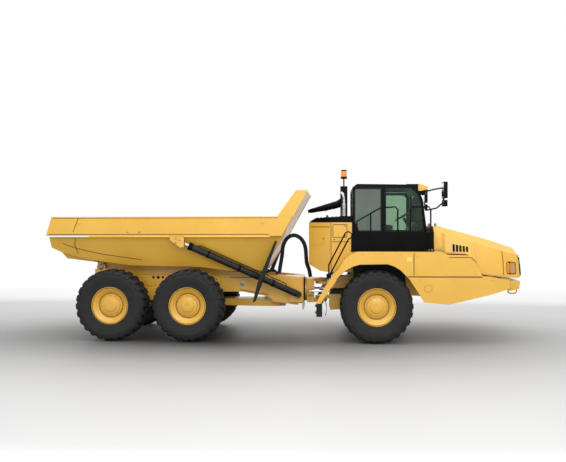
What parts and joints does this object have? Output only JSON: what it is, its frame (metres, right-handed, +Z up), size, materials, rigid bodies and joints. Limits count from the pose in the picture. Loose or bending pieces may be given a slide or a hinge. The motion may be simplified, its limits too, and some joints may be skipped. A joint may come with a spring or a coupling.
{
  "type": "articulated dump truck",
  "caption": "Articulated six-wheeled hauler: cab tractor hinged to a rear frame with a hydraulically tipped open body, all wheels free to roll.",
  "frame": {"origin": "on the ground under the middle of the truck's overall box", "axes": "+X forward, +Y to the truck's left, +Z up"},
  "size_m": [10.3998, 3.16, 3.79],
  "materials": {
    "yellow_paint": "gloss",
    "black_paint": "semi-gloss",
    "tyre_rubber": "matte",
    "flap_rubber": "matte",
    "tinted_glass": "clear",
    "cylinder_paint": "satin",
    "chromed_rod": "polished",
    "exhaust_steel": "brushed",
    "engine_iron": "rough",
    "cab_plastic": "matte",
    "seat_fabric": "woven",
    "hose_rubber": "matte"
  },
  "bodies": {
    "front_frame": {"air_duct": "black_paint", "bumper": "yellow_paint", "cab_shell": "black_paint", "compartment": "yellow_paint", "console": "cab_plastic", "engine_block": "engine_iron", "exhaust": "exhaust_steel", "fender_left": "yellow_paint", "fender_right": "yellow_paint", "front_axle": "yellow_paint", "front_frame": "yellow_paint", "glass_left_rear": "tinted_glass", "glass_rear": "tinted_glass", "glass_right_front": "tinted_glass", "glass_right_rear": "tinted_glass", "handrail_left": "black_paint", "handrail_right": "black_paint", "mirror_left": "black_paint", "mirror_right": "black_paint", "seat": "seat_fabric", "skirt_left": "yellow_paint", "skirt_right": "yellow_paint", "windscreen": "tinted_glass"},
    "hitch": {"hitch_yoke": "yellow_paint", "hose_bundle": "hose_rubber"},
    "rear_frame": {"rear_frame": "yellow_paint", "mid_axle": "yellow_paint", "rear_axle": "yellow_paint", "walking_beam_left": "yellow_paint", "walking_beam_right": "yellow_paint"},
    "dump_body": {"dump_body": "yellow_paint", "mud_flap_left": "flap_rubber", "mud_flap_right": "flap_rubber"},
    "hood": {"hood": "yellow_paint"},
    "cab_door": {"cab_door": "black_paint", "door_glass": "tinted_glass"},
    "steering_wheel": {"steering_wheel": "cab_plastic"},
    "hoist_barrel_right": {"hoist_barrel_right": "cylinder_paint"},
    "hoist_rod_right": {"hoist_rod_right": "chromed_rod"},
    "steer_barrel_right": {"steer_barrel_right": "cylinder_paint"},
    "steer_rod_right": {"steer_rod_right": "chromed_rod"},
    "hoist_barrel_left": {"hoist_barrel_left": "cylinder_paint"},
    "hoist_rod_left": {"hoist_rod_left": "chromed_rod"},
    "steer_barrel_left": {"steer_barrel_left": "cylinder_paint"},
    "steer_rod_left": {"steer_rod_left": "chromed_rod"},
    "wheel_front_right": {"tyre_front_right": "tyre_rubber", "rim_front_right": "yellow_paint"},
    "wheel_front_left": {"tyre_front_left": "tyre_rubber", "rim_front_left": "yellow_paint"},
    "wheel_mid_right": {"tyre_mid_right": "tyre_rubber", "rim_mid_right": "yellow_paint"},
    "wheel_mid_left": {"tyre_mid_left": "tyre_rubber", "rim_mid_left": "yellow_paint"},
    "wheel_rear_right": {"tyre_rear_right": "tyre_rubber", "rim_rear_right": "yellow_paint"},
    "wheel_rear_left": {"tyre_rear_left": "tyre_rubber", "rim_rear_left": "yellow_paint"}
  },
  "joints": [
    {"name": "steer", "type": "hinge", "parent": "front_frame", "child": "hitch", "pos_m": [0.825, 0, 1.05], "axis": [0, 0, 1], "range_deg": [-45, 45], "deforming": ["hose_bundle"]},
    {"name": "oscillate", "type": "hinge", "parent": "hitch", "child": "rear_frame", "pos_m": [0.435, 0, 1.05], "axis": [-1, 0, 0], "range_deg": [-15, 15]},
    {"name": "dump", "type": "hinge", "parent": "rear_frame", "child": "dump_body", "pos_m": [-4.245, 0, 1.58], "axis": [0, -1, 0], "range_deg": [0, 70]},
    {"name": "hood_tilt", "type": "hinge", "parent": "front_frame", "child": "hood", "pos_m": [5.055, 0, 1.5], "axis": [0, 1, 0], "range_deg": [0, 55]},
    {"name": "door_swing", "type": "hinge", "parent": "front_frame", "child": "cab_door", "pos_m": [2.255, 0.865, 2.6], "axis": [0, 0, 1], "range_deg": [0, 85]},
    {"name": "steering_wheel_turn", "type": "hinge", "parent": "front_frame", "child": "steering_wheel", "pos_m": [2.74, 0, 2.718], "axis": [-0.5019, 0, 0.8649], "continuous": true},
    {"name": "hoist_swing_right", "type": "hinge", "parent": "rear_frame", "child": "hoist_barrel_right", "pos_m": [0.335, -0.7, 0.98], "axis": [-0.413, 0.7626, -0.4979], "range_deg": [0, 8.85]},
    {"name": "hoist_stroke_right", "type": "slide", "parent": "hoist_barrel_right", "child": "hoist_rod_right", "axis": [-0.8857, -0.209, 0.4145], "range_m": [0, 2.4048]},
    {"name": "steer_swing_right", "type": "hinge", "parent": "front_frame", "child": "steer_barrel_right", "pos_m": [1.785, -0.44, 1.03], "axis": [0, 0, 1], "range_deg": [-6.99, 6.99]},
    {"name": "steer_stroke_right", "type": "slide", "parent": "steer_barrel_right", "child": "steer_rod_right", "axis": [-0.9994, 0.0333, 0], "range_m": [-0.3035, 0.3035]},
    {"name": "hoist_swing_left", "type": "hinge", "parent": "rear_frame", "child": "hoist_barrel_left", "pos_m": [0.335, 0.7, 0.98], "axis": [0.413, 0.7626, 0.4979], "range_deg": [0, 8.85]},
    {"name": "hoist_stroke_left", "type": "slide", "parent": "hoist_barrel_left", "child": "hoist_rod_left", "axis": [-0.8857, 0.209, 0.4145], "range_m": [0, 2.4048]},
    {"name": "steer_swing_left", "type": "hinge", "parent": "front_frame", "child": "steer_barrel_left", "pos_m": [1.785, 0.44, 1.03], "axis": [0, 0, 1], "range_deg": [-6.99, 6.99]},
    {"name": "steer_stroke_left", "type": "slide", "parent": "steer_barrel_left", "child": "steer_rod_left", "axis": [-0.9994, -0.0333, 0], "range_m": [-0.3035, 0.3035]},
    {"name": "wheel_turn_front_right", "type": "hinge", "parent": "front_frame", "child": "wheel_front_right", "pos_m": [2.035, -1.14, 0.785], "axis": [0, 1, 0], "continuous": true},
    {"name": "wheel_turn_front_left", "type": "hinge", "parent": "front_frame", "child": "wheel_front_left", "pos_m": [2.035, 1.14, 0.785], "axis": [0, 1, 0], "continuous": true},
    {"name": "wheel_turn_mid_right", "type": "hinge", "parent": "rear_frame", "child": "wheel_mid_right", "pos_m": [-2.055, -1.14, 0.785], "axis": [0, 1, 0], "continuous": true},
    {"name": "wheel_turn_mid_left", "type": "hinge", "parent": "rear_frame", "child": "wheel_mid_left", "pos_m": [-2.055, 1.14, 0.785], "axis": [0, 1, 0], "continuous": true},
    {"name": "wheel_turn_rear_right", "type": "hinge", "parent": "rear_frame", "child": "wheel_rear_right", "pos_m": [-3.775, -1.14, 0.785], "axis": [0, 1, 0], "continuous": true},
    {"name": "wheel_turn_rear_left", "type": "hinge", "parent": "rear_frame", "child": "wheel_rear_left", "pos_m": [-3.775, 1.14, 0.785], "axis": [0, 1, 0], "continuous": true}
  ],
  "couplings": [
    {"joint": "hoist_swing_right", "follows": "dump", "ratio": 0.12572},
    {"joint": "hoist_stroke_right", "follows": "dump", "m_per_rad": 1.9668},
    {"joint": "steer_swing_right", "follows": "steer", "ratio": 0.1542},
    {"joint": "steer_stroke_right", "follows": "steer", "m_per_rad": -0.38383},
    {"joint": "hoist_swing_left", "follows": "dump", "ratio": 0.12572},
    {"joint": "hoist_stroke_left", "follows": "dump", "m_per_rad": 1.9668},
    {"joint": "steer_swing_left", "follows": "steer", "ratio": 0.1542},
    {"joint": "steer_stroke_left", "follows": "steer", "m_per_rad": 0.38383}
  ]
}
